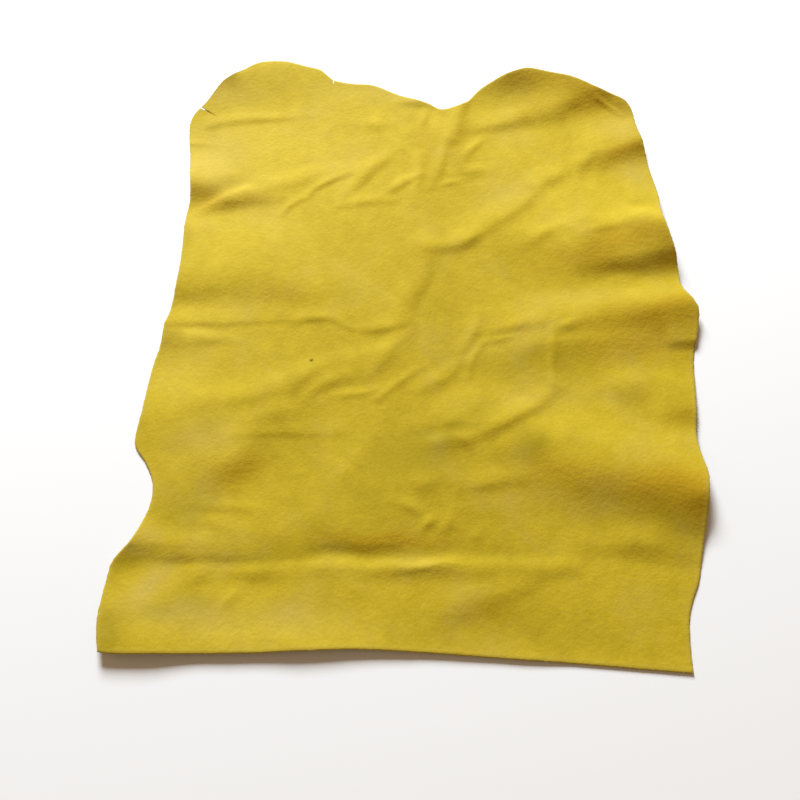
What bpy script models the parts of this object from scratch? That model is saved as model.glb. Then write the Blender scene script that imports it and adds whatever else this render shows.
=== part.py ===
# A small suede hide, one piece of leather lying loose on a flat surface.
#
# The hide lies flesh side up with its neck end at +Y and its straight cut foot at -Y.
# Tables are in millimetres, the built mesh is in metres, +Z is up, and the surface is z = 0.

from collections import namedtuple

import bmesh
import bpy
import numpy as np

mm = 0.001

thickness = 1.2  # mm, of the leather
cellsAcross = 48  # mesh cells from the left flank to the right one
cellsAlong = 58  # mesh cells from the foot to the neck
restDrop = 0.33  # mm that the hide would sink if the surface let it, so that it lies in flat patches
liftOff = 0.24  # mm over which it leaves the surface at the rim of a patch
linePoints = 40  # points worked out between two neighbours of an edge table

Point = namedtuple("Point", "x y")
Fold = namedtuple(
    "Fold", "startX startY endX endY bow riseStart riseMiddle riseEnd right left"
)
Slit = namedtuple("Slit", "mouthX mouthY tipX tipY width")

# The four edges of the hide as it lies, each from its lower or left end.
footEdge = [
    Point(-218, -260.5),
    Point(-202.5, -262),
    Point(-123.5, -261.5),
    Point(-83.5, -260),
    Point(-44, -259),
    Point(0, -261),
    Point(50, -264.5),
    Point(102.5, -268),
    Point(145.5, -271.5),
    Point(177.5, -274),
]
leftEdge = [
    Point(-218, -260.5),
    Point(-222, -239.5),
    Point(-220.5, -212.5),
    Point(-218, -198.5),
    Point(-207, -185),
    Point(-200, -168),
    Point(-197, -153.5),
    Point(-198.5, -139),
    Point(-205, -126),
    Point(-212.5, -116),
    Point(-215, -107.5),
    Point(-212.5, -83),
    Point(-209.5, -48.5),
    Point(-205.5, -28),
    Point(-204.5, -11),
    Point(-200.5, 8),
    Point(-197.5, 45.5),
    Point(-198.5, 88),
    Point(-197, 118),
    Point(-201.5, 155),
    Point(-205.5, 184),
    Point(-206, 199),
    Point(-202.5, 208.5),
    Point(-197, 215.5),
]
rightEdge = [
    Point(177.5, -274),
    Point(178, -259),
    Point(180, -239),
    Point(184.5, -226),
    Point(190.5, -213),
    Point(195.5, -193.5),
    Point(201.5, -167),
    Point(204, -148.5),
    Point(205.5, -136),
    Point(204, -117),
    Point(204, -104.5),
    Point(207, -86),
    Point(210, -60.5),
    Point(213, -37.5),
    Point(217.5, -20),
    Point(220.5, -1),
    Point(218, 7.5),
    Point(211, 22),
    Point(210.5, 36.5),
    Point(209, 49),
    Point(204.5, 67),
    Point(201, 89),
    Point(203.5, 115),
    Point(202, 139),
    Point(198.5, 165.5),
    Point(194, 186.5),
    Point(191.5, 206),
    Point(186.5, 216),
]
neckEdge = [
    Point(-197, 215.5),
    Point(-189, 226.5),
    Point(-180.5, 241.5),
    Point(-171, 249),
    Point(-158, 259),
    Point(-145.5, 266),
    Point(-124, 268),
    Point(-105.5, 263.5),
    Point(-91.5, 259.5),
    Point(-83.5, 252),
    Point(-76.5, 247),
    Point(-62, 244.5),
    Point(-45, 244),
    Point(-34, 240),
    Point(-20, 232.5),
    Point(-4, 226),
    Point(9, 220.5),
    Point(20, 214.5),
    Point(30.5, 216),
    Point(43.5, 221),
    Point(56, 234.5),
    Point(73.5, 244.5),
    Point(90, 251),
    Point(102, 253.5),
    Point(118, 250),
    Point(141, 243),
    Point(163.5, 229.5),
    Point(180.5, 220.5),
    Point(186.5, 216),
]

# Each fold is a soft ridge along a bowed line. Looking from its start to its end, bow is how far its middle
# stands off to the left, rise is its height at the start, middle and end, and right and left are how far it
# takes to die away on those sides.
edgeLifts = [
    Fold(-192, 250, -94, 268, 4, 4.5, 6.4, 4, 38, 30),
    Fold(-188, 250, -160, 260, 0, 3.1, 3.8, 0.7, 13, 14),
    Fold(40, 237, 124, 262, 8, 2.5, 8, 4.5, 26, 20),
    Fold(98, 282, 208, 246, 0, 8, 10.5, 11, 44, 9),
    Fold(-20, 222, 14, 225, 0, 0.6, 1.7, 1.3, 6, 8),
    Fold(-232, -268, 60, -268, -3, 3.6, 3.4, 1, 10.5, 46),
    Fold(-232, -262, -150, -262, 0, 2.4, 2.4, 0.3, 10.5, 50),
    Fold(-88, -266, 182, -282, 0, 0.7, 1.1, 0.9, 10.5, 15),
    Fold(-130, -266, -20, -264, 0, 0.4, 1.3, 0.4, 7, 20),
]
leftFolds = [
    Fold(-188, 197, -100, 206, 2, 0.7, 1, 0.2, 4.5, 8),
    Fold(-214, 128, -152, 125, 1, 7.4, 4.6, 0.3, 16, 24),
    Fold(-194, 99, -150, 124, 1, 0.8, 2.2, 0.8, 10.5, 4.5),
    Fold(-186, 106, -120, 116, 1, 0.3, 1.8, 0.5, 8, 18),
    Fold(-160, 113, -62, 147, 4, 0.6, 1.3, 0.7, 10.5, 10.5),
    Fold(-101, 114, -62, 141, 4, 0.8, 1.7, 0.5, 3, 4.5),
    Fold(-206, 44, -80, 38, 3, 4.2, 3.2, 0.6, 27, 40),
    Fold(-210, 22, -130, 28, 0, 2.1, 1.6, 0.2, 13, 18),
    Fold(-140, 26, -66, 22, 0, 0.6, 1.3, 0.5, 13, 20),
    Fold(-210, -9, -70, -3, 0, 1.9, 0.9, 0.6, 4.5, 13),
    Fold(-210, -16, -160, -22, 0, 2.1, 1.4, 0.2, 14, 6),
    Fold(-190, -26, -136, -27, 5, 0.3, 0.8, 0.3, 4.5, 6),
    Fold(-212, -88, -150, -84, 0, 1.6, 1.2, 0.4, 24, 36),
    Fold(-212, 84, -150, 88, 0, 2, 1.4, 0.4, 16, 18),
]
arcFolds = [
    Fold(-112, -18, -58, -12, 10, 0.3, 0.7, 0.4, 3.5, 6),
    Fold(-62, -12, -12, -8, -5, 0.4, 1, 0.6, 3.5, 7.5),
    Fold(-26, -12, 3, 62, -3, 0.7, 1.8, 1, 7, 15),
    Fold(2, 66, 42, 71, -4, 0.6, 1.4, 1.1, 6, 9),
    Fold(38, 70, 110, 134, -3, 1.1, 1.7, 0.8, 7, 14),
]
rightFolds = [
    Fold(34, 190, 124, 208, -1, 1, 2.2, 1.6, 9, 14),
    Fold(98, 213, 172, 236, -3, 1, 2.8, 3.2, 13, 22),
    Fold(154, 236, 200, 214, 1, 0.8, 3, 3.2, 13, 14),
    Fold(98, 129, 152, 160, -3, 0.6, 1.3, 1, 6, 10.5),
    Fold(130, 150, 202, 177, 2, 0.8, 4.6, 6.6, 15, 26),
    Fold(176, 80, 206, 84, 0, 0.3, 1, 1.1, 5.5, 9),
    Fold(96, 73, 210, 84, 2, 0.8, 6.6, 11.2, 36, 38),
    Fold(112, 46, 212, 58, 0, 0.8, 2.9, 4.8, 13, 44),
    Fold(140, 45, 192, 47, 0, 0.3, 1.2, 0.3, 7, 16),
    Fold(10, 72, 110, 80, 0, 0.8, 1.8, 1.3, 30, 20),
    Fold(60, -10, 224, 8, -1, 1.2, 5.4, 8.6, 21, 22),
    Fold(56, -36, 165, -26, 2, 1.3, 2.4, 1.3, 18, 10.5),
    Fold(188, -24, 216, -25, 0, 0.2, 1.4, 2.1, 6, 18),
    Fold(132, -65, 190, -63, 2, 0.6, 1.8, 0.8, 16, 10.5),
    Fold(168, -80, 206, -84, 0, 0.8, 2.4, 2.6, 14, 26),
]
middleFolds = [
    Fold(-176, -78, -88, -54, -4, 0.6, 1.8, 1.1, 9.5, 10.5),
    Fold(-90, -74, -58, -55, 2, 0.6, 1.4, 0.7, 5.5, 7),
    Fold(-92, -52, -24, -36, 2, 0.7, 1.4, 1, 16, 10.5),
    Fold(-40, -52, -5, -8, 0, 0.8, 1.5, 0.6, 7, 9),
    Fold(-4, -68, 30, -42, -4, 0.6, 1.5, 0.7, 6, 8),
    Fold(30, -108, 104, -66, -4, 1.5, 2.3, 0.8, 6, 9.5),
    Fold(-174, -144, -108, -98, 3, 0.8, 5.4, 1.2, 18, 32),
    Fold(-146, -98, -90, -78, 2, 0.6, 2.8, 1.2, 13, 28),
    Fold(20, -233, 94, -203, -2, 0.8, 1.3, 0.5, 8, 13),
    Fold(54, -106, 212, -149, -3, 3.4, 8, 10.5, 30, 38),
    Fold(116, -187, 184, -190, 2, 1.1, 2.5, 1, 10.5, 14),
    Fold(184, -160, 212, -150, 0, 0.3, 1.4, 2.1, 14, 14),
]
headFolds = [
    Fold(-66, 116, -18, 168, 2, 0.7, 2.3, 0.6, 7, 10),
    Fold(-34, 118, 2, 140, 1, 0.4, 1.4, 0.6, 4.5, 7),
    Fold(32, 180, 44, 236, 0, 1.1, 1.6, 1.6, 5.5, 7),
    Fold(8, 124, 25, 180, -2, 0.7, 1.7, 0.7, 5.5, 6),
]
footFolds = [
    Fold(-214, -181, -150, -184, -1, 3.6, 2.2, 1, 10, 16),
    Fold(-164, -174, -84, -172, -1, 0.6, 1.7, 0.8, 20, 30),
    Fold(-100, -160, 40, -157, 0, 0.8, 4.4, 1, 28, 42),
    Fold(-96, -188, 2, -184, 0, 0.3, 2.2, 0.6, 7, 20),
    Fold(-214, -192, -90, -190, 0, 0.4, 1.3, 0.7, 5, 14),
    Fold(-130, -205, 106, -204, 0, 0.4, 1.7, 0.7, 8, 5.5),
    Fold(-110, -218, 10, -214, 0, 0.2, 0.5, 0.2, 9, 30),
]
folds = edgeLifts + leftFolds + arcFolds + rightFolds + middleFolds + headFolds + footFolds

# Two short cuts that the knife left in the rim, each open at its mouth.
slits = {
    "shoulderSlit": Slit(-201.5, 217, -182.5, 205, 3.6),
    "neckSlit": Slit(-78, 252, -79, 241, 3.0),
}
slitReach = 20  # mm that a slit's cutter stands above and below the leather


def smoothLine(points):
    """A curve through the points: between two of them it is the cubic whose slopes join their neighbours."""
    p = np.array([points[0]] + list(points) + [points[-1]], float)
    t = np.linspace(0, 1, linePoints, endpoint=False)[:, None]
    before, start, end, after = (p[k : len(p) - 3 + k, None] for k in range(4))
    slopeStart, slopeEnd = (end - before) / 2, (after - start) / 2
    curve = (
        (2 * t**3 - 3 * t**2 + 1) * start
        + (t**3 - 2 * t**2 + t) * slopeStart
        + (3 * t**2 - 2 * t**3) * end
        + (t**3 - t**2) * slopeEnd
    )
    return np.vstack([curve.reshape(-1, 2), p[-1:]])


def stations(points, share):
    """Points of the smooth curve at these shares of its length."""
    line = smoothLine(points)
    run = np.r_[0, np.cumsum(np.linalg.norm(np.diff(line, axis=0), axis=1))]
    at = np.asarray(share) * run[-1]
    return np.stack([np.interp(at, run, line[:, k]) for k in range(2)], axis=-1)


def plan(across, along):
    """Where a share across and along falls: the blend of the four edges less the blend of the four corners."""
    u, v = across[..., None], along[..., None]
    foot, neck = stations(footEdge, across), stations(neckEdge, across)
    left, right = stations(leftEdge, along), stations(rightEdge, along)
    footLeft, footRight, neckLeft, neckRight = (
        np.array(p, float) for p in (footEdge[0], footEdge[-1], neckEdge[0], neckEdge[-1])
    )
    edges = (1 - v) * foot + v * neck + (1 - u) * left + u * right
    corners = (1 - v) * ((1 - u) * footLeft + u * footRight) + v * ((1 - u) * neckLeft + u * neckRight)
    return edges - corners


def ease(t):
    """Runs smoothly from 0 to 1, level at both ends."""
    return t * t * (3 - 2 * t)


def foldHeight(x, y, fold):
    """A bell across the bowed line, as tall as the rise along it, dying away past both ends."""
    runX, runY = fold.endX - fold.startX, fold.endY - fold.startY
    length = np.hypot(runX, runY)
    along = ((x - fold.startX) * runX + (y - fold.startY) * runY) / length**2
    across = ((y - fold.startY) * runX - (x - fold.startX) * runY) / length
    off = across - 4 * fold.bow * along * (1 - along)
    t = np.clip(along, 0, 1)
    rise = np.where(
        t < 0.5,
        fold.riseStart + (fold.riseMiddle - fold.riseStart) * ease(np.minimum(2 * t, 1)),
        fold.riseMiddle + (fold.riseEnd - fold.riseMiddle) * ease(np.maximum(2 * t - 1, 0)),
    )
    width = np.where(off > 0, fold.left, fold.right)
    past = length * (along - t) / ((fold.left + fold.right) / 2)
    return rise * np.exp(-((off / width) ** 2) - past**2)


def layHeight(x, y):
    """The underside: the folds added up, less the drop, and flat on the surface wherever that is below it."""
    raw = sum(foldHeight(x, y, fold) for fold in folds) - restDrop
    leaving = (raw + liftOff) ** 2 / (4 * liftOff)
    return np.where(raw > liftOff, raw, np.where(raw < -liftOff, 0, leaving))


def suede():
    """Yellow suede: a dry, rough leather."""
    material = bpy.data.materials.new("suede")
    material.use_nodes = True
    shader = material.node_tree.nodes["Principled BSDF"]
    shader.inputs["Base Color"].default_value = (0.46, 0.33, 0.02, 1)
    shader.inputs["Roughness"].default_value = 0.95
    shader.inputs["Metallic"].default_value = 0.0
    return material


def slitCutter(name, slit, centre):
    """A wedge that stands upright through the leather: its edge at the slit's tip, its back past the rim."""
    mouth, tip = np.array([slit.mouthX, slit.mouthY]), np.array([slit.tipX, slit.tipY])
    run = tip - mouth
    side = np.array([-run[1], run[0]]) / np.linalg.norm(run) * slit.width / 2
    foot = [(p - centre) * mm for p in (mouth - side, tip, mouth + side)]
    mesh = bpy.data.meshes.new(name)
    work = bmesh.new()
    low = [work.verts.new((p[0], p[1], -slitReach * mm)) for p in foot]
    high = [work.verts.new((p[0], p[1], slitReach * mm)) for p in foot]
    work.faces.new(low)
    work.faces.new(high)
    for k in range(3):
        work.faces.new((low[k], low[(k + 1) % 3], high[(k + 1) % 3], high[k]))
    bmesh.ops.recalc_face_normals(work, faces=work.faces)
    work.to_mesh(mesh)
    work.free()
    cutter = bpy.data.objects.new(name, mesh)
    cutter.hide_render = True
    cutter.display_type = "WIRE"
    bpy.context.collection.objects.link(cutter)
    return cutter


def leatherHide():
    """The hide's underside as one net of cells, thickened upwards and slit at its rim."""
    rim = np.vstack([smoothLine(edge) for edge in (footEdge, rightEdge, neckEdge, leftEdge)])
    centre = (rim.min(axis=0) + rim.max(axis=0)) / 2

    work = bmesh.new()
    bmesh.ops.create_grid(work, x_segments=cellsAcross, y_segments=cellsAlong, size=1)
    share = np.array([vert.co[:2] for vert in work.verts]) / 2 + 0.5
    place = plan(share[:, 0], share[:, 1])
    height = layHeight(place[:, 0], place[:, 1])
    for vert, spot, z in zip(work.verts, place - centre, height):
        vert.co = (spot[0] * mm, spot[1] * mm, z * mm)
    mesh = bpy.data.meshes.new("hide")
    work.to_mesh(mesh)
    work.free()
    mesh.shade_smooth()

    hide = bpy.data.objects.new("hide", mesh)
    bpy.context.collection.objects.link(hide)
    hide.data.materials.append(suede())
    wall = hide.modifiers.new("thickness", "SOLIDIFY")
    wall.thickness = thickness * mm
    wall.offset = 1
    for name, slit in slits.items():
        cut = hide.modifiers.new(name, "BOOLEAN")
        cut.operation = "DIFFERENCE"
        cut.solver = "EXACT"
        cut.object = slitCutter(name, slit, centre)
    return hide


for old in list(bpy.data.objects):
    bpy.data.objects.remove(old, do_unlink=True)
leatherHide()
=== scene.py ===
# A small yellow suede hide, lying loose on a pale floor under one large soft light.
# Tables are in millimetres, meshes in metres, +Z is up and the floor is z = 0.

from collections import namedtuple

import bpy
import numpy as np
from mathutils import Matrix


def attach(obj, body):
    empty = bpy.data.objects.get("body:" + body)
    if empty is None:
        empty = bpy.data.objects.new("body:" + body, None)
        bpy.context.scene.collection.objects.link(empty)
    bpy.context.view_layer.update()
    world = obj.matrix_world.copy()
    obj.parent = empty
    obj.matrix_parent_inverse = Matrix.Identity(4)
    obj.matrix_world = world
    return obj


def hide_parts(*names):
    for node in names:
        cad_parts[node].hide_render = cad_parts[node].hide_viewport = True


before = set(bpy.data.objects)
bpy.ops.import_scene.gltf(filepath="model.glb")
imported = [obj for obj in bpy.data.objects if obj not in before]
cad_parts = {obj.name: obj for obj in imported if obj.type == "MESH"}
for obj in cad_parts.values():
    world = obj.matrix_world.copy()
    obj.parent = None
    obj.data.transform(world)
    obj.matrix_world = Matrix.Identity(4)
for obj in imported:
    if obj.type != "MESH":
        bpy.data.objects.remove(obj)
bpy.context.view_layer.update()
print("frame loaded")

mm = 0.001

Point = namedtuple("Point", "x y")
Fold = namedtuple("Fold", "startX startY endX endY bow riseStart riseMiddle riseEnd right left")
Slit = namedtuple("Slit", "mouthX mouthY tipX tipY width")
Patch = namedtuple("Patch", "x y reachX reachY turn tone")
Cloud = namedtuple("Cloud", "size turn seed share")
Noise = namedtuple("Noise", "scale detail roughness")

hide = {
    "thickness": 1.2,  # mm, of the leather
    "thicknessVaries": 0.1,  # mm, thicker and thinner than that from place to place
    "cellsAcross": 248,  # cells of the upper side, in even numbers, since the underside has half as many
    "cellsAlong": 304,
    "restDrop": 0.33,  # mm that it would sink if the floor let it, so that it lies in flat patches
    "liftOff": 0.24,  # mm over which it leaves the floor at the rim of a patch
    "foldWander": 1.6,  # mm that a fold strays from its row's line
    "patchWander": 7.0,  # mm that a patch of the nap strays from its oval
    "linePoints": 40,  # points worked out between two neighbours of an edge table
    "edgeRound": 0.3,  # mm that the cut edge is rounded off above
    "edgeLine": 0.0015,  # share of its width and length at which the first and last cells end
    "edgeFray": 0.35,  # mm that loose fibres move the cut edge in and out
    "edgeBand": 3.0,  # mm from the cut edge over which its nap is worn
    "spanAcross": 440,  # mm, near enough, for working out how far a place is from the cut edge
    "spanAlong": 540,
    "slitReach": 20,  # mm that a slit's wedge stands above and below the floor
    "sharpAngle": 60,  # degrees, past which two faces that meet aren't smoothed together
    "flatWidth": 0.446,  # m, of the sheet before it was laid
    "flatLength": 0.548,
    "flatArea": 0.209,  # square metres
}

# Soft random clouds: their size in mm, how many degrees their net is turned, their seed and their share.
cloudNet = 97  # random levels along each side of a net, after which it repeats
thicknessClouds = [Cloud(52, 20, 1, 0.5), Cloud(23, -35, 2, 0.35), Cloud(9, 50, 3, 0.15)]
foldCloudsX = [Cloud(30, 15, 11, 1), Cloud(12, -20, 12, 0.5)]
foldCloudsY = [Cloud(30, -10, 13, 1), Cloud(12, 30, 14, 0.5)]
patchCloudsX = [Cloud(26, 40, 21, 1)]
patchCloudsY = [Cloud(26, -40, 22, 1)]
fraySeed = 4

# The four edges of the hide as it lies, each from its lower or left end.
footEdge = [
    Point(-218, -260.5), Point(-202.5, -262), Point(-123.5, -261.5), Point(-83.5, -260), Point(-44, -259),
    Point(0, -261), Point(50, -264.5), Point(102.5, -268), Point(145.5, -271.5), Point(177.5, -274),
]
leftEdge = [
    Point(-218, -260.5), Point(-222, -239.5), Point(-220.5, -212.5), Point(-218, -198.5), Point(-207, -185),
    Point(-200, -168), Point(-197, -153.5), Point(-198.5, -139), Point(-205, -126), Point(-212.5, -116),
    Point(-215, -107.5), Point(-212.5, -83), Point(-209.5, -48.5), Point(-205.5, -28), Point(-204.5, -11),
    Point(-200.5, 8), Point(-197.5, 45.5), Point(-198.5, 88), Point(-197, 118), Point(-201.5, 155),
    Point(-205.5, 184), Point(-206, 199), Point(-202.5, 208.5), Point(-197, 215.5),
]
rightEdge = [
    Point(177.5, -274), Point(178, -259), Point(180, -239), Point(184.5, -226), Point(190.5, -213),
    Point(195.5, -193.5), Point(201.5, -167), Point(204, -148.5), Point(205.5, -136), Point(204, -117),
    Point(204, -104.5), Point(207, -86), Point(210, -60.5), Point(213, -37.5), Point(217.5, -20),
    Point(220.5, -1), Point(218, 7.5), Point(211, 22), Point(210.5, 36.5), Point(209, 49), Point(204.5, 67),
    Point(201, 89), Point(203.5, 115), Point(202, 139), Point(198.5, 165.5), Point(194, 186.5),
    Point(191.5, 206), Point(186.5, 216),
]
neckEdge = [
    Point(-197, 215.5), Point(-189, 226.5), Point(-180.5, 241.5), Point(-171, 249), Point(-158, 259),
    Point(-145.5, 266), Point(-124, 268), Point(-105.5, 263.5), Point(-91.5, 259.5), Point(-83.5, 252),
    Point(-76.5, 247), Point(-62, 244.5), Point(-45, 244), Point(-34, 240), Point(-20, 232.5),
    Point(-4, 226), Point(9, 220.5), Point(20, 214.5), Point(30.5, 216), Point(43.5, 221),
    Point(56, 234.5), Point(73.5, 244.5), Point(90, 251), Point(102, 253.5), Point(118, 250),
    Point(141, 243), Point(163.5, 229.5), Point(180.5, 220.5), Point(186.5, 216),
]

# Each fold is a soft ridge along a bowed line. Looking from its start to its end, bow is how far its
# middle stands off to the left, rise is its height at the start, middle and end, and right and left are
# how far it takes to die away on those sides. These first ones lift the rim.
edgeLifts = [
    Fold(-192, 250, -94, 268, 4, 4.5, 6.4, 4, 38, 30),
    Fold(-188, 250, -160, 260, 0, 3.1, 3.8, 0.7, 13, 14),
    Fold(40, 237, 124, 262, 8, 2.5, 8, 4.5, 26, 20),
    Fold(98, 282, 208, 246, 0, 8, 10.5, 11, 44, 9),
    Fold(-20, 222, 14, 225, 0, 0.6, 1.7, 1.3, 6, 8),
    Fold(-232, -268, 60, -268, -3, 3.6, 3.4, 1, 10.5, 46),
    Fold(-232, -262, -150, -262, 0, 2.4, 2.4, 0.3, 10.5, 50),
    Fold(-88, -266, 182, -282, 0, 0.7, 1.1, 0.9, 10.5, 15),
    Fold(-130, -266, -20, -264, 0, 0.4, 1.3, 0.4, 7, 20),
]
leftFolds = [
    Fold(-188, 197, -100, 206, 2, 0.7, 1, 0.2, 4.5, 8),
    Fold(-214, 128, -152, 125, 1, 7.4, 4.6, 0.3, 16, 24),
    Fold(-190, 97, -150, 121, 1, 0.6, 1.6, 0.9, 9.5, 5),
    Fold(-186, 106, -118, 117, 1, 0.3, 1.6, 0.9, 8, 18),
    Fold(-160, 112, -62, 147, 4, 1, 1.3, 0.7, 9, 10.5),
    Fold(-100, 115, -62, 141, 4, 0.6, 1.2, 0.4, 3, 4.5),
    Fold(-206, 44, -80, 38, 3, 4.2, 3.2, 0.6, 27, 40),
    Fold(-210, 22, -130, 28, 0, 2.1, 1.6, 0.2, 13, 18),
    Fold(-140, 26, -66, 22, 0, 0.6, 1.3, 0.5, 13, 20),
    Fold(-210, -9, -70, -3, 0, 1.9, 0.9, 0.6, 4.5, 13),
    Fold(-210, -16, -160, -22, 0, 2.1, 1.4, 0.2, 14, 6),
    Fold(-190, -26, -136, -27, 5, 0.3, 0.8, 0.3, 4.5, 6),
    Fold(-212, -88, -150, -84, 0, 1.6, 1.2, 0.4, 24, 36),
    Fold(-212, 84, -150, 88, 0, 2, 1.4, 0.4, 16, 18),
]
arcFolds = [
    Fold(-112, -18, -58, -12, 10, 0.3, 0.7, 0.4, 3.5, 6),
    Fold(-62, -12, -12, -8, -5, 0.4, 1, 0.6, 3.5, 7.5),
    Fold(-26, -12, 5, 62, -7, 0.6, 1.7, 1, 6.5, 14),
    Fold(2, 66, 42, 71, -4, 0.6, 1.4, 1.1, 6, 9),
    Fold(38, 70, 110, 134, -3, 1.1, 1.7, 0.8, 7, 14),
]
rightFolds = [
    Fold(34, 190, 124, 208, -1, 1, 2.2, 1.6, 9, 14),
    Fold(98, 213, 172, 236, -3, 1, 2.8, 3.2, 13, 22),
    Fold(154, 236, 200, 214, 1, 0.8, 3, 3.2, 13, 14),
    Fold(98, 129, 134, 150, -2, 0.6, 0.9, 0.3, 6, 10.5),
    Fold(130, 150, 202, 177, 2, 0.8, 4.6, 6.6, 15, 26),
    Fold(158, 76, 208, 81, 2, 0.2, 1.7, 2, 12, 18),
    Fold(96, 66, 210, 73, 2, 0.8, 6.6, 11, 31, 44),
    Fold(112, 46, 212, 58, 0, 0.8, 2.9, 4.8, 13, 44),
    Fold(140, 45, 192, 47, 0, 0.3, 1.2, 0.3, 7, 16),
    Fold(10, 72, 110, 80, 0, 0.8, 1.8, 1.3, 30, 20),
    Fold(60, -10, 224, 8, -1, 1.2, 5.4, 8.6, 21, 22),
    Fold(56, -36, 165, -26, 2, 1.3, 2.4, 1.3, 18, 10.5),
    Fold(188, -24, 216, -25, 0, 0.3, 1.9, 2.7, 5, 17),
    Fold(132, -65, 190, -63, 2, 0.6, 1.8, 0.8, 16, 10.5),
    Fold(168, -80, 206, -84, 0, 0.8, 2.4, 2.6, 14, 26),
]
middleFolds = [
    Fold(-176, -78, -88, -54, -4, 0.6, 1.8, 1.1, 9.5, 10.5),
    Fold(-90, -74, -58, -55, 2, 0.6, 1.4, 0.7, 5.5, 7),
    Fold(-92, -52, -24, -36, 2, 0.7, 1.4, 1, 16, 10.5),
    Fold(-40, -52, -5, -8, 0, 0.8, 1.5, 0.6, 7, 9),
    Fold(-4, -68, 30, -42, -4, 0.6, 1.5, 0.7, 6, 8),
    Fold(30, -108, 104, -66, -4, 1.5, 2.3, 0.8, 6, 9.5),
    Fold(-174, -144, -108, -98, 3, 0.8, 5.4, 1.2, 18, 32),
    Fold(-146, -98, -90, -78, 2, 0.6, 2.8, 1.2, 13, 28),
    Fold(20, -233, 94, -203, -2, 0.8, 1.3, 0.5, 8, 13),
    Fold(54, -106, 212, -149, -3, 3.4, 8, 10.5, 30, 38),
    Fold(116, -187, 184, -190, 2, 1.1, 2.5, 1, 10.5, 14),
    Fold(184, -160, 212, -150, 0, 0.3, 1.4, 2.1, 14, 14),
]
headFolds = [
    Fold(-66, 116, -18, 168, 2, 0.7, 1.9, 0.6, 7, 10),
    Fold(-34, 118, 2, 140, 1, 0.4, 1.4, 0.6, 4.5, 7),
    Fold(32, 180, 44, 236, 0, 1.1, 1.6, 1.6, 5.5, 7),
    Fold(8, 124, 25, 180, -2, 0.7, 1.7, 0.7, 5.5, 6),
]
footFolds = [
    Fold(-214, -183, -150, -186, -1, 3.6, 2.2, 1, 10, 16),
    Fold(-164, -174, -84, -172, -1, 0.6, 1.7, 0.8, 20, 30),
    Fold(-100, -160, 40, -157, 0, 0.8, 4.4, 1, 28, 42),
    Fold(-96, -188, 2, -184, 0, 0.3, 2.2, 0.6, 7, 20),
    Fold(-214, -195, -90, -193, 0, 0.4, 1.3, 0.7, 5, 14),
    Fold(-130, -204, 106, -204, 0, 0.4, 1.8, 0.7, 7.5, 6),
    Fold(-110, -218, 10, -214, 0, 0.2, 0.5, 0.2, 9, 30),
]
folds = edgeLifts + leftFolds + arcFolds + rightFolds + middleFolds + headFolds + footFolds

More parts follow.
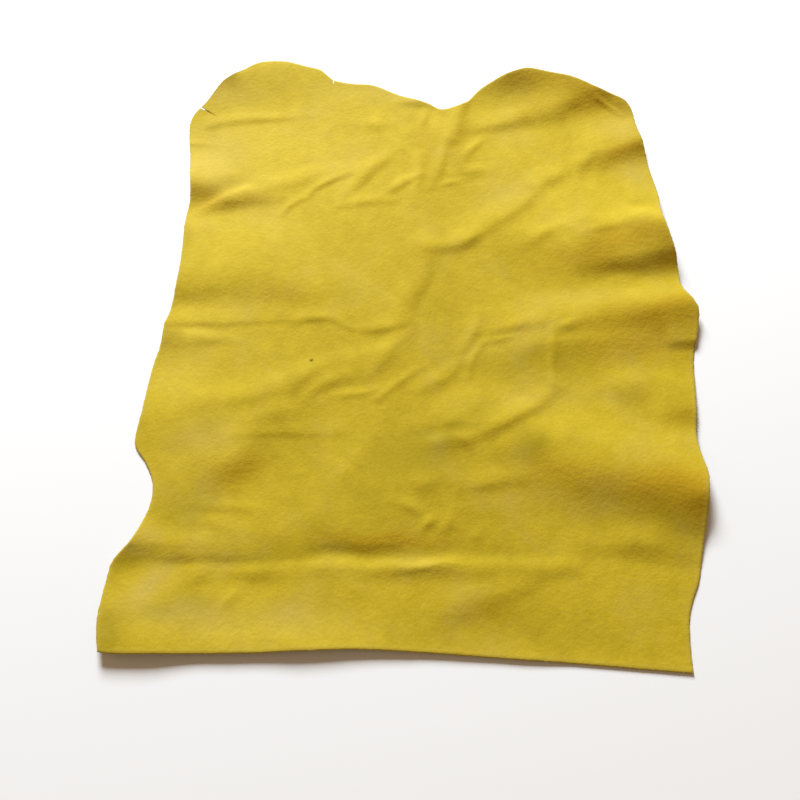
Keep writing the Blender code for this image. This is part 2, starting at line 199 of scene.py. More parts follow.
# Small creases, written in the same way.
fineCreases = [
    Fold(-204, 175, -182, 174, 0, 0.4, 0.4, 0.2, 2.5, 3.5),
    Fold(-117, 97, -104, 114, 1, 0.3, 0.8, 0.4, 2.5, 3.5),
    Fold(-100, -68, -84, -50, 0, 0.4, 0.8, 0.4, 5, 5),
    Fold(-68, -72, -36, -66, -1, 0.3, 0.8, 0.4, 3.5, 3.5),
    Fold(-34, -74, 2, -46, 0, 0.7, 0.8, 0.2, 3.5, 3.5),
    Fold(33, -32, 47, 2, -2, 0.7, 1, 0.4, 4, 5),
    Fold(46, -17, 94, -10, 1, 0.4, 1.1, 0.4, 5, 7),
    Fold(36, -56, 48, -26, 2, 0.6, 1.1, 0.6, 3.5, 4),
    Fold(50, -24, 78, -22, 1, 0.5, 0.8, 0.2, 3.5, 3.5),
    Fold(6, -94, 38, -93, 0, 0.4, 2, 1.1, 7, 17),
    Fold(-4, -112, 30, -107, 1, 0.4, 1.6, 1, 9, 6),
    Fold(62, -112, 100, -106, 0, 0.7, 1.8, 0.9, 12, 15.5),
    Fold(30, -142, 70, -140, 0, 0.4, 1.3, 0.7, 6, 10),
    Fold(-14, -142, 14, -140, 0, 0.3, 1.3, 0.3, 7, 7),
    Fold(-24, -157, 0, -168, 3, 0.3, 0.7, 0.2, 3.5, 4),
    Fold(-3, -178, 8, -166, 0, 0.4, 1.2, 0.4, 4, 3.5),
    Fold(-140, -106, -62, -103, 1, 0.4, 0.6, 0.3, 3.5, 7),
    Fold(-168, -160, -112, -162, 0, 0.2, 0.6, 0.2, 3.5, 5),
    Fold(-162, -170, -132, -178, 1, 0.2, 0.6, 0.2, 4, 5),
    Fold(-22, -207, 28, -200, 1, 0.2, 0.8, 0.2, 3.5, 3.5),
    Fold(8, -186, 20, -162, 0, 0.2, 0.8, 0.2, 5, 5),
    Fold(34, -188, 42, -176, 0, 0.2, 0.7, 0.2, 4, 4),
    Fold(-66, -150, -44, -112, 0, 0.2, 0.8, 0.2, 8.5, 8.5),
    Fold(-170, -214, -142, -203, 1, 0.4, 1.1, 0.3, 6, 7.5),
    Fold(-138, -207, -92, -206, 0, 0.3, 1.1, 0.3, 6, 7),
    Fold(-139, -232, -128, -218, 0, 0.2, 0.7, 0.2, 4, 4),
    Fold(-68, 106, -28, 113, 0, 0.4, 0.8, 0.4, 4, 7),
    Fold(-5, 112, 3, 162, 0, 0.4, 1.5, 0.6, 6, 5),
    Fold(38, 152, 60, 180, 3, 0.3, 1.1, 0.3, 4, 5),
    Fold(28, 143, 64, 144, 0, 0.2, 0.9, 0.3, 5, 6),
    Fold(14, 126, 36, 134, 0, 0.2, 0.8, 0.3, 4, 4),
    Fold(-54, 196, -26, 198, 0, 0.2, 0.8, 0.2, 6, 7.5),
    Fold(0, 188, 7, 218, 0, 0.2, 0.7, 0.3, 3.5, 3.5),
    Fold(161, 220, 182, 203, 0, 0.7, 0.9, 0.3, 2.5, 2.5),
    Fold(100, -62, 108, -6, 2, 0.7, 1.1, 0.3, 4, 3.5),
    Fold(86, 66, 118, 82, 1, 0.4, 1.2, 0.3, 6, 7),
    Fold(138, 75, 170, 83, 1, 0.3, 1, 0.3, 4, 6),
    Fold(104, -16, 126, -6, 0, 0.4, 1.1, 0.3, 5, 4),
    Fold(137, 138, 150, 160, 1, 0.3, 1.2, 0.6, 5, 9),
]

# Where the colour is made lighter (+) or darker (-) than the rest: partly nap brushed lighter or darker,
# mostly painted shade on the folds' shaded sides and painted light on their lit sides and over the neck
# end's left half. Each is a soft oval at x and y, reaching so far along its own two axes, and turned so many
# degrees.
napAndPaintedShadingPatches = [
    Patch(-190, -222, 45, 22, 5, 0.05),
    Patch(-162, -232, 26, 10, 0, -0.16),
    Patch(-140, -253, 30, 8, 0, 0.06),
    Patch(-214, -250, 16, 14, 0, -0.3),
    Patch(-216, -192, 12, 16, 0, -0.26),
    Patch(-192, 0, 20, 10, 0, 0.05),
    Patch(-196, -68, 30, 26, 0, 0.12),
    Patch(-165, 6, 26, 34, 0, 0.07),
    Patch(-108, -60, 22, 16, 0, -0.08),
    Patch(-152, -92, 14, 10, 0, -0.13),
    Patch(-172, -157, 34, 14, 12, -0.12),
    Patch(-152, -123, 15, 11, 0, 0.17),
    Patch(-185, 92, 24, 9, 0, 0.11),
    Patch(-168, 131, 24, 6, 8, -0.15),
    Patch(-155, 172, 42, 28, 0, 0.06),
    Patch(-176, 230, 16, 14, 0, 0.08),
    Patch(-70, 232, 16, 12, 0, 0.1),
    Patch(-76, 192, 40, 16, 8, -0.08),
    Patch(-90, -250, 90, 12, 0, 0.04),
    Patch(-48, -208, 34, 8, 0, 0.1),
    Patch(-30, -118, 46, 20, 0, -0.08),
    Patch(-20, -152, 90, 18, 0, -0.06),
    Patch(-46, -150, 14, 10, 0, -0.06),
    Patch(-66, -176, 18, 14, 0, -0.12),
    Patch(-100, -192, 30, 8, 0, -0.07),
    Patch(40, -190, 40, 10, 0, -0.11),
    Patch(38, -236, 34, 16, 0, -0.18),
    Patch(6, -116, 18, 20, 0, -0.14),
    Patch(40, -92, 24, 8, 12, -0.13),
    Patch(76, -114, 14, 14, 0, -0.17),
    Patch(130, -152, 26, 10, -20, -0.11),
    Patch(150, -162, 44, 12, 0, -0.1),
    # painted shade, darkest beside the right rim towards the foot
    Patch(188, -168, 22, 16, 0, -0.28),
    Patch(14, 44, 20, 60, 0, -0.05),
    Patch(15, -30, 20, 30, 0, -0.07),
    Patch(20, 150, 22, 28, 0, -0.07),
    Patch(-2, 136, 8, 28, 0, 0.04),
    Patch(17, 198, 6, 9, 0, 0.06),
    Patch(75, 5, 20, 8, 0, 0.02),
    Patch(80, -16, 30, 10, 0, -0.05),
    Patch(70, -38, 36, 16, 0, -0.05),
    Patch(-45, -12, 28, 9, 0, -0.06),
    Patch(92, -72, 16, 8, 20, -0.08),
    Patch(160, -58, 50, 26, 0, -0.03),
    Patch(152, -72, 14, 9, 0, -0.06),
    Patch(118, 126, 22, 14, 30, 0.12),
    Patch(105, 182, 34, 16, 0, 0.05),
    Patch(126, 206, 16, 12, 0, 0.07),
    Patch(172, 195, 30, 16, 0, 0.02),
    Patch(196, 112, 10, 10, 0, -0.08),
    Patch(186, 46, 22, 6, 4, 0.06),
    # painted light: the neck end's left half made brighter, where the light falls more strongly
    Patch(-115, 165, 120, 95, 0, 0.13),
    Patch(128, 50, 24, 9, 0, -0.09),
    Patch(178, 74, 34, 9, 5, -0.16),
    Patch(180, -4, 42, 10, 5, -0.06),
    Patch(212, -30, 10, 16, 0, -0.12),
    Patch(0, -135, 210, 60, 0, -0.035),
    Patch(182, -158, 26, 16, 0, -0.06),
    Patch(-8, -130, 22, 12, 0, -0.06),
    Patch(14, -104, 20, 8, 0, -0.05),
    Patch(36, -111, 9, 8, 0, 0.08),
    Patch(-60, -190, 24, 8, 0, -0.1),
    Patch(-216, -212, 10, 16, 0, -0.12),
    Patch(186, 105, 24, 9, 0, -0.12),
    Patch(115, 165, 90, 60, 0, 0.05),
    Patch(92, 256, 34, 10, -5, 0.18),
    Patch(160, 238, 16, 10, -35, 0.08),
    Patch(-188, 96, 16, 12, 0, 0.06),
    Patch(-174, 112, 14, 7, 10, 0.13),
    Patch(216, 12, 8, 8, 0, 0.12),
    Patch(-170, -172, 16, 8, 0, -0.08),
    Patch(-152, -152, 12, 8, 0, -0.06),
    Patch(-170, -190, 18, 6, 0, 0.05),
    Patch(-50, -212, 24, 7, 0, 0.05),
    Patch(30, -228, 16, 8, 0, -0.06),
    Patch(-96, -232, 16, 8, 0, -0.08),
    Patch(204, -88, 12, 10, 0, -0.2),
    Patch(-96, -64, 14, 8, 0, -0.03),
    Patch(36, -112, 8, 7, 0, 0.06),
    Patch(-189, 118, 17, 8, 0, -0.14),
    Patch(48, 150, 16, 14, 0, -0.05),
    Patch(-22, -250, 20, 8, 0, -0.08),
    Patch(70, -252, 20, 8, 0, -0.08),
    Patch(-176, 168, 14, 12, 0, 0.04),
    Patch(-184, -12, 12, 6, 0, 0.05),
    Patch(12, 194, 10, 14, 0, 0.1),
    Patch(-6, -112, 30, 16, 0, -0.03),
    Patch(190, 72, 16, 7, 5, -0.08),
    Patch(174, 91, 32, 8, 5, 0.1),
    Patch(-160, 72, 50, 26, 0, 0.06),
    Patch(-185, -50, 34, 20, 0, 0.05),
    Patch(50, -38, 70, 34, 0, -0.045),
    Patch(124, -52, 26, 14, 0, -0.04),
    Patch(-112, -110, 16, 9, 0, -0.08),
    Patch(10, -112, 16, 12, 0, -0.07),
    Patch(-66, -190, 24, 8, 0, -0.06),
    Patch(196, 91, 16, 7, 5, 0.03),
    Patch(-152, 131, 18, 7, 8, -0.07),
    Patch(162, 46, 22, 8, 5, 0.08),
    Patch(-172, -229, 26, 9, 15, -0.08),
    Patch(-148, -252, 34, 6, 0, 0.06),
    Patch(-130, -188, 26, 9, 0, -0.08),
    Patch(-160, -166, 20, 8, 0, -0.06),
    Patch(190, 150, 14, 10, 0, 0.08),
    Patch(-212, -198, 16, 9, 0, -0.1),
    Patch(20, -240, 110, 12, 0, -0.05),
    Patch(-202, -20, 12, 7, 0, -0.1),
    Patch(10, 42, 14, 26, 0, -0.04),
    Patch(-170, -10, 20, 7, 0, 0.08),
    Patch(-180, 121, 15, 6, -5, -0.16),
    Patch(88, -40, 22, 8, 20, -0.08),
    Patch(46, -38, 12, 6, 60, 0.03),
]
# Where the colour is greyed, written in the same way: on the upper left this is a painted sheen, the paler
# look that the light's gloss gives; elsewhere it is nap gone grey.
greyNapAndSheenPatches = [
    Patch(-178, 160, 36, 34, 0, 0.4),
    Patch(-175, 235, 24, 16, 0, 0.3),
    Patch(-68, 236, 20, 12, 0, 0.18),
    Patch(-60, 160, 26, 12, 25, 0.2),
    Patch(-180, -35, 26, 30, 0, 0.15),
    Patch(-168, -108, 24, 16, 15, 0.4),
    Patch(-188, -214, 19, 9, 58, 0.6),
    Patch(-204, -195, 10, 7, 0, 0.3),
    Patch(-194, -180, 10, 8, 0, 0.4),
    Patch(-165, -235, 36, 12, 0, 0.32),
    Patch(-110, -245, 70, 12, 0, 0.16),
    Patch(-90, -235, 20, 12, 0, 0.35),
    Patch(75, 122, 26, 14, 30, 0.35),
    Patch(182, 190, 20, 14, 0, 0.4),
    Patch(190, 140, 12, 18, 0, 0.4),
    Patch(130, 16, 40, 8, 3, 0.2),
    Patch(110, -72, 34, 10, 0, 0.15),
    Patch(-20, 228, 30, 8, -15, 0.3),
]
# Where it is painted browner and darker, written in the same way: painted shade on the folds' shaded sides
# and under the lifted rim.
brownShadePatches = [
    Patch(176, 62, 46, 17, 6, 0.6),
    Patch(180, 70, 32, 10, 6, 0.15),
    Patch(122, 52, 30, 14, 0, 0.4),
    Patch(185, 0, 44, 14, 5, 0.8),
    Patch(165, -28, 44, 12, 0, 0.5),
    Patch(205, -90, 14, 12, 0, 0.4),
    Patch(90, 248, 40, 14, -5, 0.55),
    Patch(158, 226, 30, 16, -30, 0.6),
    Patch(185, 165, 26, 8, 20, 0.8),
    Patch(120, 210, 34, 10, 10, 0.3),
    Patch(-205, -178, 14, 10, 0, 0.4),
    Patch(-30, -186, 44, 6, 0, 0.7),
    Patch(-135, -132, 18, 12, 0, 0.5),
    Patch(-185, 120, 20, 10, 0, 0.5),
    Patch(-160, 108, 26, 8, 5, 0.4),
    Patch(180, -148, 44, 20, 0, 0.9),
    Patch(100, -134, 30, 14, 0, 0.5),
    Patch(42, -236, 26, 12, 0, 0.4),
    Patch(-220, -195, 10, 14, 0, 0.5),
    Patch(6, 172, 10, 36, 0, 0.25),
    Patch(34, 176, 8, 30, 0, 0.25),
    Patch(-6, 20, 6, 40, 0, 0.15),
    Patch(-115, 15, 24, 12, 0, 0.2),
]
# Two short cuts that the knife left in the rim, each open at its mouth.
slits = {
    "shoulderSlit": Slit(-201.5, 217, -182.5, 205, 2.6),
    "neckSlit": Slit(-78, 252, -79, 241, 2.2),
}


# Runs from 0 to 1 as t does, level at both ends: 3 t^2 - 2 t^3.
def ease(t):
    return t * t * (3 - 2 * t)


# A smooth curve through the points: between two of them, the cubic whose slopes join their neighbours.
def smoothLine(points):
    p = np.array([points[0]] + list(points) + [points[-1]], float)
    t = np.linspace(0, 1, hide["linePoints"], endpoint=False)[:, None]
    before, start, end, after = (p[k : len(p) - 3 + k, None] for k in range(4))
    curve = start + (end - start) * ease(t)
    curve = curve + (t**3 - 2 * t**2 + t) * (end - before) / 2 + (t**3 - t**2) * (after - start) / 2
    return np.vstack([curve.reshape(-1, 2), p[-1:]])


# The points of that curve at these shares of its length.
def stations(points, share):
    line = smoothLine(points)
    run = np.r_[0, np.cumsum(np.linalg.norm(np.diff(line, axis=0), axis=1))]
    return np.stack([np.interp(share * run[-1], run, line[:, k]) for k in range(2)], axis=-1)


# The grid of shares: even steps from 0 to 1, but for a first and last line close to the cut edge.
def shareGrid():
    first = hide["edgeLine"]
    cells = hide["cellsAcross"], hide["cellsAlong"]
    return np.meshgrid(*(np.r_[0, np.linspace(first, 1 - first, count - 1), 1] for count in cells))


# Where the share u across and v along falls: the blend of the four edges, less the blend of the corners.
def plan(across, along):
    u, v = across[..., None], along[..., None]
    foot, neck = stations(footEdge, across), stations(neckEdge, across)
    left, right = stations(leftEdge, along), stations(rightEdge, along)
    footLeft, footRight, neckLeft, neckRight = (
        np.array(p, float) for p in (footEdge[0], footEdge[-1], neckEdge[0], neckEdge[-1])
    )
    corners = (1 - v) * ((1 - u) * footLeft + u * footRight) + v * ((1 - u) * neckLeft + u * neckRight)
    return (1 - v) * foot + v * neck + (1 - u) * left + u * right - corners


# The middle of the outline's box, halfway between its lowest and highest x and y.
def outlineCentre():
    outline = np.vstack([smoothLine(edge) for edge in (footEdge, rightEdge, neckEdge, leftEdge)])
    return (outline.min(axis=0) + outline.max(axis=0)) / 2


# The rows' clouds added up, each times its share. A cloud is random levels from -1 to 1 at the corners of a
# turned square net, eased from each corner to the next.
def clouds(x, y, rows):
    total = np.zeros_like(x)
    for row in rows:
        level = np.random.default_rng(row.seed).uniform(-1, 1, (cloudNet, cloudNet))
        turn = np.radians(row.turn)
        p = (x * np.cos(turn) + y * np.sin(turn)) / row.size
        q = (y * np.cos(turn) - x * np.sin(turn)) / row.size
        i, j = np.floor(p).astype(int), np.floor(q).astype(int)
        u, v = ease(p - i), ease(q - j)
        i, j, nextI, nextJ = i % cloudNet, j % cloudNet, (i + 1) % cloudNet, (j + 1) % cloudNet
        low = (1 - u) * level[i, j] + u * level[nextI, j]
        high = (1 - u) * level[i, nextJ] + u * level[nextI, nextJ]
        total = total + row.share * ((1 - v) * low + v * high)
    return total


# A ridge: rise * exp(-(off / width)^2 - past^2), where off is the distance from the bowed line, past is how
# far the place lies beyond an end of it, and the rise eases from start to middle to end.
def foldHeight(x, y, fold):
    runX, runY = fold.endX - fold.startX, fold.endY - fold.startY
    length = np.hypot(runX, runY)
    along = ((x - fold.startX) * runX + (y - fold.startY) * runY) / length**2
    across = ((y - fold.startY) * runX - (x - fold.startX) * runY) / length
    off = across - 4 * fold.bow * along * (1 - along)
    t = np.clip(along, 0, 1)
    firstHalf = fold.riseStart + (fold.riseMiddle - fold.riseStart) * ease(np.minimum(2 * t, 1))
    lastHalf = (fold.riseEnd - fold.riseMiddle) * ease(np.maximum(2 * t - 1, 0))
    width = np.where(off > 0, fold.left, fold.right)
    past = length * (along - t) / ((fold.left + fold.right) / 2)
    return (firstHalf + lastHalf) * np.exp(-((off / width) ** 2) - past**2)


# The underside: the folds added up, less the drop, and 0 wherever that is below the floor; then the creases.
# All are read a little to the side of each place, by soft clouds, so that no fold runs quite straight.
def layHeight(x, y):
    wander = hide["foldWander"]
    x, y = x + wander * clouds(x, y, foldCloudsX), y + wander * clouds(x, y, foldCloudsY)
    raw = sum(foldHeight(x, y, fold) for fold in folds) - hide["restDrop"]
    soft = hide["liftOff"]
    leaving = (raw + soft) ** 2 / (4 * soft)
    low = np.where(raw > soft, raw, np.where(raw < -soft, 0, leaving))
    return low + sum(foldHeight(x, y, fold) for fold in fineCreases)


# The sum of the patches: each is tone * exp(-(p / reachX)^2 - (q / reachY)^2) in its own turned axes, read
# a little to the side of each place, by soft clouds, so that no patch is a plain oval.
def patchwork(x, y, patches):
    stray = hide["patchWander"]
    x, y = x + stray * clouds(x, y, patchCloudsX), y + stray * clouds(x, y, patchCloudsY)
    total = np.zeros_like(x)
    for patch in patches:
        turn = np.radians(patch.turn)
        p = (x - patch.x) * np.cos(turn) + (y - patch.y) * np.sin(turn)
        q = (y - patch.y) * np.cos(turn) - (x - patch.x) * np.sin(turn)
        total = total + patch.tone * np.exp(-((p / patch.reachX) ** 2) - (q / patch.reachY) ** 2)
    return total


# Vertex numbers of a grid's border, once round counter-clockwise.
def border(number):
    return np.concatenate([number[0, :-1], number[:-1, -1], number[-1, :0:-1], number[:0:-1, 0]])


# Four vertex numbers for each cell of a grid, counter-clockwise from above.
def gridQuads(number):
    quads = [number[:-1, :-1], number[:-1, 1:], number[1:, 1:], number[1:, :-1]]
    return np.stack(quads, axis=-1).reshape(-1, 4)


# An object at the origin, with its place in its mesh, in one material.
def meshPiece(name, verts, faces, material):
    mesh = bpy.data.meshes.new(name)
    mesh.from_pydata(verts, [], faces)
    mesh.materials.append(material)
    piece = bpy.data.objects.new(name, mesh)
    bpy.context.collection.objects.link(piece)
    return piece


# One number for each vertex, which the material reads by this name.
def addValues(mesh, name, values):
    mesh.attributes.new(name, "FLOAT", "POINT").data.foreach_set("value", np.asarray(values, np.float32))


# The cut edge, square to the rim's own run: the rim goes in and down to round it off, and a second ring
# halfway down the leather goes out or in by its fray, which is random from -1 to 1.
def cutEdge(rim, thick):
    way = np.roll(rim, -1, axis=0) - np.roll(rim, 1, axis=0)
    out = np.stack([way[:, 1], -way[:, 0]], axis=-1) / np.linalg.norm(way[:, :2], axis=1)[:, None]
    fray = np.random.default_rng(fraySeed).uniform(-1, 1, len(rim))
    middle = rim.copy()
    middle[:, 2] -= thick / 2
    middle[:, :2] += out * (hide["edgeFray"] * fray)[:, None]
    rounded = rim.copy()
    rounded[:, :2] -= out * hide["edgeRound"] / 2
    rounded[:, 2] -= hide["edgeRound"]
    return rounded, middle


# The closed shell: the upper side is z = layHeight + thickness on the grid of plan(u, v), the underside is
# z = layHeight on every second line of that grid, and two bands of faces round the cut edge join them.
def leatherShell(material):
    across, along = shareGrid()
    place, centre = plan(across, along), outlineCentre()
    x, y = place[..., 0], place[..., 1]
    low = layHeight(x, y)
    thick = hide["thickness"] + hide["thicknessVaries"] * clouds(x, y, thicknessClouds)
    top = np.dstack([place - centre, low + thick])
    under = np.dstack([place - centre, low])[::2, ::2]

    topNumber = np.arange(x.size).reshape(x.shape)
    underNumber = x.size + np.arange(under[..., 0].size).reshape(under.shape[:2])
    topRing, underRing = border(topNumber), border(underNumber)
    ring = topNumber.size + underNumber.size + np.arange(topRing.size)
    rounded, middle = cutEdge(top.reshape(-1, 3)[topRing], thick.ravel()[topRing])
    top.reshape(-1, 3)[topRing] = rounded

    verts = np.vstack([top.reshape(-1, 3), under.reshape(-1, 3), middle]) * mm
    after = np.roll(ring, -1)
    upperBand = np.stack([ring, after, np.roll(topRing, -1), topRing], axis=-1)
    lowerBand = np.stack(
        [underRing, np.roll(underRing, -1), np.roll(ring, -2)[::2], after[::2], ring[::2]], axis=-1
    )
    faces = (
        gridQuads(topNumber).tolist()
        + gridQuads(underNumber)[:, ::-1].tolist()
        + upperBand.tolist()
        + lowerBand.tolist()
    )
    piece = meshPiece("suedeHide", verts.tolist(), faces, material)

    reach = np.minimum(
        np.minimum(across, 1 - across) * hide["spanAcross"], np.minimum(along, 1 - along) * hide["spanAlong"]
    )
    worn = np.exp(-((reach / hide["edgeBand"]) ** 2))
    side = np.concatenate([np.zeros(x.size), np.ones(underNumber.size), np.full(ring.size, 0.5)])
    addValues(piece.data, "underSide", side)
    addValues(piece.data, "edgeWear", np.r_[worn.ravel(), worn[::2, ::2].ravel(), np.ones(ring.size)])
    # The three patch tables, carried to the material: nap tone with painted shade and light, grey nap with a
    # painted sheen, and browner painted shade.
    for name, patches in (("napToneAndPaintedShading", napAndPaintedShadingPatches), ("greyNapAndPaintedSheen", greyNapAndSheenPatches), ("brownPaintedShade", brownShadePatches)):
        tone = patchwork(x, y, patches)
        addValues(piece.data, name, np.r_[tone.ravel(), tone[::2, ::2].ravel(), tone.ravel()[topRing]])
    return piece, centre


# A wedge that stands upright through the leather: its edge at the slit's tip, its back past the rim.
def slitWedge(name, slit, centre, material):
    mouth, tip = np.array([slit.mouthX, slit.mouthY]), np.array([slit.tipX, slit.tipY])
    run = tip - mouth
    side = np.array([-run[1], run[0]]) / np.linalg.norm(run) * slit.width / 2
    foot = (np.array([mouth - side, mouth + side, tip]) - centre) * mm
    reach = hide["slitReach"] * mm
    verts = [(px, py, z) for z in (-reach, reach) for px, py in foot.tolist()]
    faces = [(0, 1, 2), (5, 4, 3), (0, 3, 4, 1), (1, 4, 5, 2), (2, 5, 3, 0)]
    wedge = meshPiece(name, verts, faces, material)
    cutValues = {"underSide": 0.5, "edgeWear": 1, "napToneAndPaintedShading": 0, "greyNapAndPaintedSheen": 0, "brownPaintedShade": 0}
    for valueName, value in cutValues.items():
        addValues(wedge.data, valueName, np.full(len(verts), value))
    return wedge


# The shell less the wedges, smoothed all over but for the edges sharper than the limit.
def cutSlits(piece, centre, material):
    wedges = [slitWedge(name, slit, centre, material) for name, slit in slits.items()]
    for wedge in wedges:
        cut = piece.modifiers.new(wedge.name, "BOOLEAN")
        cut.operation, cut.solver, cut.object = "DIFFERENCE", "FAST", wedge
    ready = piece.evaluated_get(bpy.context.evaluated_depsgraph_get())
    whole, piece.data = piece.data, bpy.data.meshes.new_from_object(ready)
    piece.modifiers.clear()
    bpy.data.meshes.remove(whole)
    for wedge in wedges:
        bpy.data.objects.remove(wedge, do_unlink=True)
    piece.data.shade_smooth()
    piece.data.set_sharp_from_angle(angle=np.radians(hide["sharpAngle"]))


# A node with these values: each is its own setting of that name or, failing that, its socket's.
def node(tree, kind, **values):
    made = tree.nodes.new(kind)
    for name, value in values.items():
        if hasattr(made, name):
            setattr(made, name, value)
        else:
            made.inputs[name.replace("_", " ")].default_value = value
    return made


suedeLook = {
    "pale": (0.59, 0.455, 0.032),
    "middle": (0.475, 0.358, 0.018),
    "deep": (0.357, 0.272, 0.011),
    "dull": (0.49, 0.380, 0.090),  # where the nap has gone grey, and the painted sheen on the upper left
    "warm": (0.41, 0.242, 0.008),  # the painted shade, browner and darker, on the folds' shaded sides
    "under": (0.45, 0.325, 0.030),
    "cutEdge": (0.49, 0.38, 0.06),
    "stain": (0.09, 0.062, 0.004),
    "stainPlace": (-0.0852, -0.0390, 0.0),  # m
    "stainReach": 0.0020,  # m
    "stainMiddle": 1 / 3,  # share of that reach in which it is darkest
    "stainRagged": 0.004,  # m, from the furthest in to the furthest out that the grain moves its rim
    "cloud": Noise(19, 3, 0.55),  # scales are per metre
    "mottle": Noise(95, 4, 0.55),
    "bloom": Noise(17, 4, 0.65),
    "pebble": Noise(290, 2, 0.55),
    "grain": Noise(620, 3, 0.6),
    "nap": Noise(1500, 2, 0.6),
    "cloudTone": 0.6,  # how far each moves the tone, which runs from deep at 0 to pale at 1
    "mottleTone": 0.6,
    "grainTone": 0.44,
    # the finest noise, the nap's own grain, moves the tone by this much
    "napToneAndPaintedShading": 0.34,
    "patchTone": 2.4,
    "middleTone": 0.5,
    "bloomStarts": 0.5,  # in its noise
    "bloomFull": 0.72,
    "bloomShare": 0.3,  # how much of each colour is painted over the one below
    "greyShare": 1.0,
    "warmShare": 0.8,
    "stainShare": 0.85,
    "underShare": 0.8,
    "edgeShare": 0.45,
    "roughness": 0.65,
    "specular": 0.05,
    "sheen": 0.12,
    "sheenRoughness": 0.55,
    "sheenTint": (1.0, 0.78, 0.15),
    "pebbleHeight": 0.00026,  # m
    "grainHeight": 0.00010,
    "napHeight": 0.00003,
    "warmPebble": 0.8,  # share by which the pebbles stand higher where the painted shade is browner
}


# Napped suede: four sizes of noise and the patches of nap tone, painted shade and painted light add up to a
# tone between three yellows, greyed in patches (partly a painted sheen) and browned by patches of painted
# shade, and three of those noises, coarse to fine, raise the grain.
def suede():
    look = suedeLook
    material = bpy.data.materials.new("suede")
    material.use_nodes = True
    tree = material.node_tree
    link = tree.links.new
    shader = tree.nodes["Principled BSDF"]
    place = node(tree, "ShaderNodeTexCoord").outputs["Object"]

    # Noise from 0 to 1 at the row's scale, fixed to the hide.
    def noise(row):
        made = node(
            tree, "ShaderNodeTexNoise", Scale=row.scale, Detail=row.detail, Roughness=row.roughness
        )
        link(place, made.inputs["Vector"])
        return made.outputs["Fac"]

    # value * gain + add
    def scaled(value, gain, add=0.0):
        made = node(tree, "ShaderNodeMath", operation="MULTIPLY_ADD")
        made.inputs[1].default_value, made.inputs[2].default_value = gain, add
        link(value, made.inputs[0])
        return made.outputs[0]

    # A value from 0 to 1, made to run from -gain / 2 to gain / 2.
    def centred(value, gain):
        return scaled(value, gain, -gain / 2)

    # The sum of two values, or another operation on them.
    def joined(a, b, operation="ADD"):
        made = node(tree, "ShaderNodeMath", operation=operation)
        link(a, made.inputs[0])
        link(b, made.inputs[1])
        return made.outputs[0]

    # 0 where the value is at the start or before it, and 1 at the end or past it.
    def ranged(value, start, end):
        made = node(tree, "ShaderNodeMapRange")
        made.inputs["From Min"].default_value, made.inputs["From Max"].default_value = start, end
        link(value, made.inputs["Value"])
        return made.outputs["Result"]

    # One colour over another, by the factor times the share. Inputs 6 and 7 and output 2 are its colours.
    def painted(factor, under, over, share):
        made = node(tree, "ShaderNodeMix", data_type="RGBA")
        link(scaled(factor, share), made.inputs["Factor"])
        link(under, made.inputs[6])
        made.inputs[7].default_value = (*over, 1)
        return made.outputs[2]

    # The number that each vertex carries under this name.
    def carried(name):
        return node(tree, "ShaderNodeAttribute", attribute_name=name).outputs["Fac"]

    cloud, mottle, bloom = noise(look["cloud"]), noise(look["mottle"]), noise(look["bloom"])
    pebble, grain, nap = noise(look["pebble"]), noise(look["grain"]), noise(look["nap"])
    tone = joined(centred(cloud, look["cloudTone"]), centred(mottle, look["mottleTone"]))
    tone = joined(tone, joined(centred(grain, look["grainTone"]), centred(nap, look["napToneAndPaintedShading"])))
    # The patches' nap tone, painted shade and painted light move the tone.
    tone = joined(tone, scaled(carried("napToneAndPaintedShading"), look["patchTone"], look["middleTone"]))
    ramp = node(tree, "ShaderNodeValToRGB")
    ramp.color_ramp.elements[0].color = (*look["deep"], 1)
    ramp.color_ramp.elements[1].color = (*look["pale"], 1)
    ramp.color_ramp.elements.new(look["middleTone"]).color = (*look["middle"], 1)
    link(tone, ramp.inputs[0])
    bloomed = ranged(bloom, look["bloomStarts"], look["bloomFull"])
    colour = painted(bloomed, ramp.outputs[0], look["dull"], look["bloomShare"])
    # Greyed in patches, partly as a painted sheen, and made browner where painted shade lies.
    colour = painted(carried("greyNapAndPaintedSheen"), colour, look["dull"], look["greyShare"])
    colour = painted(carried("brownPaintedShade"), colour, look["warm"], look["warmShare"])

    flat = node(tree, "ShaderNodeVectorMath", operation="MULTIPLY")
    flat.inputs[1].default_value = (1, 1, 0)
    link(place, flat.inputs[0])
    away = node(tree, "ShaderNodeVectorMath", operation="DISTANCE")
    away.inputs[1].default_value = look["stainPlace"]
    link(flat.outputs[0], away.inputs[0])
    ragged = joined(away.outputs["Value"], centred(grain, look["stainRagged"]))
    speck = ranged(ragged, look["stainReach"], look["stainReach"] * look["stainMiddle"])
    colour = painted(speck, colour, look["stain"], look["stainShare"])
    colour = painted(carried("underSide"), colour, look["under"], look["underShare"])
    colour = painted(carried("edgeWear"), colour, look["cutEdge"], look["edgeShare"])
    link(colour, shader.inputs["Base Color"])

    pebble = joined(pebble, scaled(carried("brownPaintedShade"), look["warmPebble"], 1.0), "MULTIPLY")
    normal = None
    for height, size in ((pebble, "pebbleHeight"), (grain, "grainHeight"), (nap, "napHeight")):
        bump = node(tree, "ShaderNodeBump", Distance=look[size])
        link(height, bump.inputs["Height"])
        if normal:
            link(normal, bump.inputs["Normal"])
        normal = bump.outputs[0]
    link(normal, shader.inputs["Normal"])

    shader.inputs["Roughness"].default_value = look["roughness"]
    shader.inputs["Specular IOR Level"].default_value = look["specular"]
    shader.inputs["Sheen Weight"].default_value = look["sheen"]
    shader.inputs["Sheen Roughness"].default_value = look["sheenRoughness"]
    shader.inputs["Sheen Tint"].default_value = (*look["sheenTint"], 1)
    return material


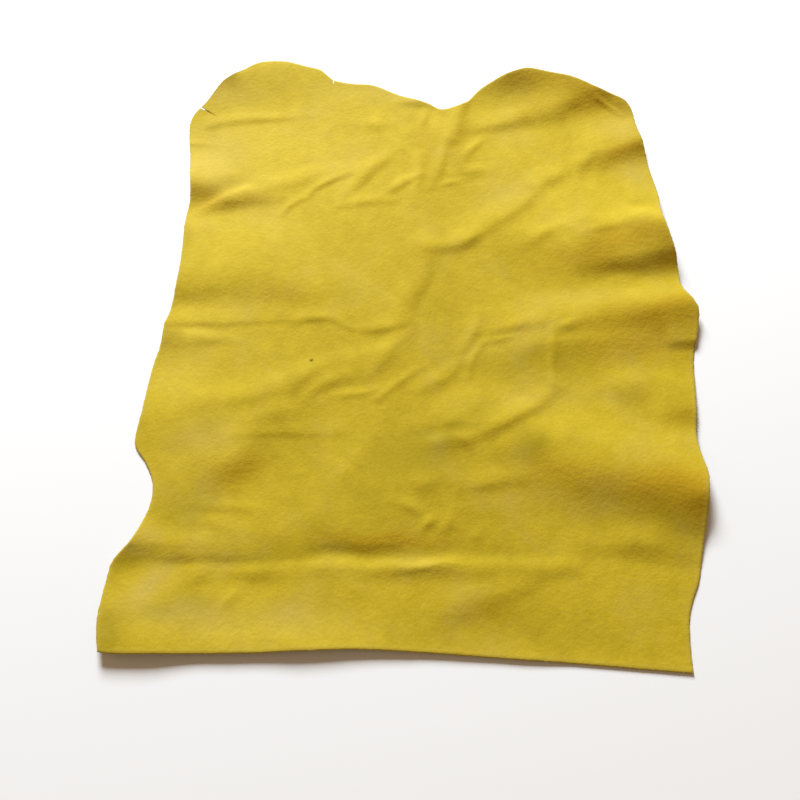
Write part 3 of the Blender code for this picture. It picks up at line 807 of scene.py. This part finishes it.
suedeMaterial = suede()
leather, middleOfHide = leatherShell(suedeMaterial)
print("shell made:", len(leather.data.polygons), "faces")
cutSlits(leather, middleOfHide, suedeMaterial)
print("slits cut:", len(leather.data.polygons), "faces")

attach(leather, "root")
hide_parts("hide")

studio = {
    "floorSide": 7.0,  # m
    "floorDrop": 0.0002,  # m, under the hide, so that no two faces share one plane
    "floorColour": (0.82, 0.85, 0.86),
    "floorRoughness": 0.9,
    "skyColour": (1.0, 0.68, 0.42),
    "skyStrength": 0.30,
    "backdropColour": (0.80, 0.80, 0.80),
    "keyPlace": (-0.68, 2.95, 1.74),  # m, beyond the neck end and a little to the left
    "keySide": 1.3,
    "keyPower": 253.0,  # watts
    "keyColour": (0.96, 1.0, 1.06),
    "cameraPlace": (-0.01625, -0.321, 0.559),  # m
    "cameraTilt": 24.0,  # degrees off straight down
    "lens": 36.0,
    "sensor": 36.0,
}


# One large matt square, just under the hide.
def paleFloor():
    material = bpy.data.materials.new("paleFloor")
    material.use_nodes = True
    shader = material.node_tree.nodes["Principled BSDF"]
    shader.inputs["Base Color"].default_value = (*studio["floorColour"], 1)
    shader.inputs["Roughness"].default_value = studio["floorRoughness"]
    half, low = studio["floorSide"] / 2, -studio["floorDrop"]
    corners = [(-half, -half, low), (half, -half, low), (half, half, low), (-half, half, low)]
    return meshPiece("floor", corners, [(0, 1, 2, 3)], material)


# One large soft light, turned towards the origin.
def keyLight():
    light = bpy.data.lights.new("key", "AREA")
    light.size, light.energy, light.color = studio["keySide"], studio["keyPower"], studio["keyColour"]
    lamp = bpy.data.objects.new("key", light)
    lamp.location = studio["keyPlace"]
    lamp.rotation_euler = (-lamp.location).to_track_quat("-Z", "Y").to_euler()
    bpy.context.collection.objects.link(lamp)


# The camera looks straight down, but for its tilt, which turns it towards the neck end.
def photoCamera():
    view = bpy.data.cameras.new("camera")
    view.lens, view.sensor_width = studio["lens"], studio["sensor"]
    camera = bpy.data.objects.new("camera", view)
    camera.location = studio["cameraPlace"]
    camera.rotation_euler = (np.radians(studio["cameraTilt"]), 0, 0)
    bpy.context.collection.objects.link(camera)
    bpy.context.scene.camera = camera


# The sky lights the hide warmly, and where the camera sees it past the floor it is a pale backdrop.
def sky():
    world = bpy.data.worlds.new("sky")
    world.use_nodes = True
    tree = world.node_tree
    link = tree.links.new
    fill, backdrop = tree.nodes["Background"], node(tree, "ShaderNodeBackground")
    fill.inputs["Color"].default_value = (*studio["skyColour"], 1)
    fill.inputs["Strength"].default_value = studio["skyStrength"]
    backdrop.inputs["Color"].default_value = (*studio["backdropColour"], 1)
    choice = node(tree, "ShaderNodeMixShader")
    link(node(tree, "ShaderNodeLightPath").outputs["Is Camera Ray"], choice.inputs[0])
    link(fill.outputs[0], choice.inputs[1])
    link(backdrop.outputs[0], choice.inputs[2])
    link(choice.outputs[0], tree.nodes["World Output"].inputs["Surface"])
    bpy.context.scene.world = world


paleFloor()
keyLight()
photoCamera()
sky()
bpy.context.scene.view_settings.view_transform = "Standard"
print("studio set")
